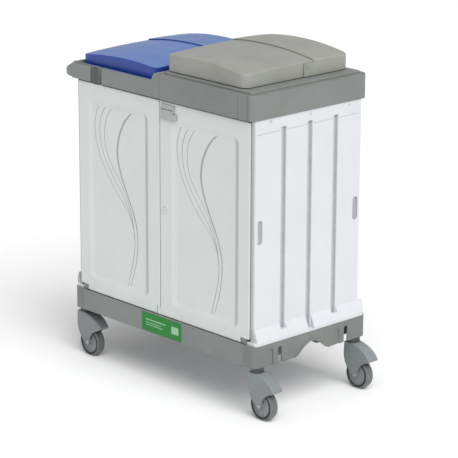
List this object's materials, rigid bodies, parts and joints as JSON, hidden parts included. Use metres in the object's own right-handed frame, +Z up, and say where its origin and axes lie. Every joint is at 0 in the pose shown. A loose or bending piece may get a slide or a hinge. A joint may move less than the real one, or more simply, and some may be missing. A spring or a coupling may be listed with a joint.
{
  "type": "housekeeping cart",
  "caption": "Housekeeping cart with a closed cabinet behind hinged doors, lidded bag bays on top, a push handle at one end and swivel casters.",
  "frame": {"origin": "on the floor under the middle of the overall bounding box", "axes": "+Z up, -Y towards the doors, +X away from the push handle"},
  "size_m": [1.064, 0.534, 1.1689],
  "materials": {
    "frame_grey": "satin moulded",
    "panel_white": "satin moulded",
    "door_white": "fine matt grain",
    "tube_steel": "powder coat",
    "steel": "zinc plated",
    "bright_metal": "bright",
    "black_plastic": "matt",
    "magnet": "plain",
    "pull_grey": "satin",
    "bag_frame_black": "matt",
    "lid_blue": "satin moulded",
    "lid_grey": "satin moulded",
    "label_green": "printed film",
    "caster_grey": "satin moulded",
    "tyre_grey": "non-marking tread"
  },
  "bodies": {
    "frame": {"back_panel": "panel_white", "bag_frame_left": "bag_frame_black", "bag_frame_right": "bag_frame_black", "base_cross_tubes": "tube_steel", "base_deck": "panel_white", "base_end_left": "frame_grey", "base_end_right": "frame_grey", "base_rail_front": "frame_grey", "base_rail_rear": "frame_grey", "caster_stems": "steel", "catch_block": "black_plastic", "catch_magnets": "magnet", "centre_divider": "panel_white", "collar": "frame_grey", "door_pivot_brackets": "tube_steel", "door_pivot_pins": "steel", "end_panel_left": "panel_white", "end_panel_right": "panel_white", "lid_hinge_pins": "steel", "panel_rivets": "bright_metal", "push_handle": "frame_grey", "rail_label": "label_green", "top_frame": "frame_grey", "upright_front_left": "tube_steel", "upright_front_right": "tube_steel", "upright_rear_left": "tube_steel", "upright_rear_right": "tube_steel"},
    "swivel_front_left": {"caster_fork_front_left": "caster_grey", "caster_axle_front_left": "steel"},
    "wheel_front_left": {"caster_hub_front_left": "caster_grey", "caster_tyre_front_left": "tyre_grey"},
    "swivel_front_right": {"caster_fork_front_right": "caster_grey", "caster_axle_front_right": "steel"},
    "wheel_front_right": {"caster_hub_front_right": "caster_grey", "caster_tyre_front_right": "tyre_grey"},
    "swivel_rear_left": {"caster_fork_rear_left": "caster_grey", "caster_axle_rear_left": "steel"},
    "wheel_rear_left": {"caster_hub_rear_left": "caster_grey", "caster_tyre_rear_left": "tyre_grey"},
    "swivel_rear_right": {"caster_fork_rear_right": "caster_grey", "caster_axle_rear_right": "steel"},
    "wheel_rear_right": {"caster_hub_rear_right": "caster_grey", "caster_tyre_rear_right": "tyre_grey"},
    "left_door": {"door_left": "door_white", "strike_plate_left": "steel"},
    "right_door": {"door_right": "door_white", "strike_plate_right": "steel", "door_pull_base": "pull_grey", "door_pull_pin": "steel", "lock_housing": "bright_metal"},
    "pull_lever": {"door_pull_lever": "pull_grey"},
    "lock_core": {"lock_plug": "bright_metal", "lock_cam": "steel"},
    "blue_cover": {"blue_lid_cover": "lid_blue", "blue_flap_pins": "steel"},
    "blue_flap": {"blue_lid_flap": "lid_blue"},
    "grey_cover": {"grey_lid_cover": "lid_grey", "grey_flap_pins": "steel"},
    "grey_flap": {"grey_lid_flap": "lid_grey"}
  },
  "joints": [
    {"name": "swivel_front_left", "type": "hinge", "parent": "frame", "child": "swivel_front_left", "pos_m": [-0.437, -0.226, 0.168], "axis": [0, 0, 1], "continuous": true},
    {"name": "wheel_front_left", "type": "hinge", "parent": "swivel_front_left", "child": "wheel_front_left", "pos_m": [-0.406, -0.226, 0.05], "axis": [0, 1, 0], "continuous": true},
    {"name": "swivel_front_right", "type": "hinge", "parent": "frame", "child": "swivel_front_right", "pos_m": [0.437, -0.226, 0.168], "axis": [0, 0, 1], "continuous": true},
    {"name": "wheel_front_right", "type": "hinge", "parent": "swivel_front_right", "child": "wheel_front_right", "pos_m": [0.468, -0.226, 0.05], "axis": [0, 1, 0], "continuous": true},
    {"name": "swivel_rear_left", "type": "hinge", "parent": "frame", "child": "swivel_rear_left", "pos_m": [-0.437, 0.226, 0.168], "axis": [0, 0, 1], "continuous": true},
    {"name": "wheel_rear_left", "type": "hinge", "parent": "swivel_rear_left", "child": "wheel_rear_left", "pos_m": [-0.406, 0.226, 0.05], "axis": [0, 1, 0], "continuous": true},
    {"name": "swivel_rear_right", "type": "hinge", "parent": "frame", "child": "swivel_rear_right", "pos_m": [0.437, 0.226, 0.168], "axis": [0, 0, 1], "continuous": true},
    {"name": "wheel_rear_right", "type": "hinge", "parent": "swivel_rear_right", "child": "wheel_rear_right", "pos_m": [0.468, 0.226, 0.05], "axis": [0, 1, 0], "continuous": true},
    {"name": "left_door", "type": "hinge", "parent": "frame", "child": "left_door", "pos_m": [-0.406, -0.249, 0.62], "axis": [0, 0, -1], "range_deg": [0, 105]},
    {"name": "right_door", "type": "hinge", "parent": "frame", "child": "right_door", "pos_m": [0.406, -0.249, 0.62], "axis": [0, 0, 1], "range_deg": [0, 105]},
    {"name": "pull_lever", "type": "hinge", "parent": "right_door", "child": "pull_lever", "pos_m": [0.037, -0.2623, 0.9675], "axis": [-1, 0, 0], "range_deg": [0, 25], "stiffness_Nm_per_rad": 0.05},
    {"name": "lock", "type": "hinge", "parent": "right_door", "child": "lock_core", "pos_m": [0.016, -0.249, 0.6255], "axis": [0, 1, 0], "range_deg": [0, 90]},
    {"name": "blue_cover", "type": "hinge", "parent": "frame", "child": "blue_cover", "pos_m": [-0.242, 0.248, 1.066], "axis": [-1, 0, 0], "range_deg": [0, 95]},
    {"name": "blue_flap", "type": "hinge", "parent": "blue_cover", "child": "blue_flap", "pos_m": [-0.242, 0.04, 1.077], "axis": [-1, 0, 0], "range_deg": [0, 75]},
    {"name": "grey_cover", "type": "hinge", "parent": "frame", "child": "grey_cover", "pos_m": [0.188, 0.248, 1.121], "axis": [-1, 0, 0], "range_deg": [0, 95]},
    {"name": "grey_flap", "type": "hinge", "parent": "grey_cover", "child": "grey_flap", "pos_m": [0.188, 0.04, 1.132], "axis": [-1, 0, 0], "range_deg": [0, 75]}
  ]
}
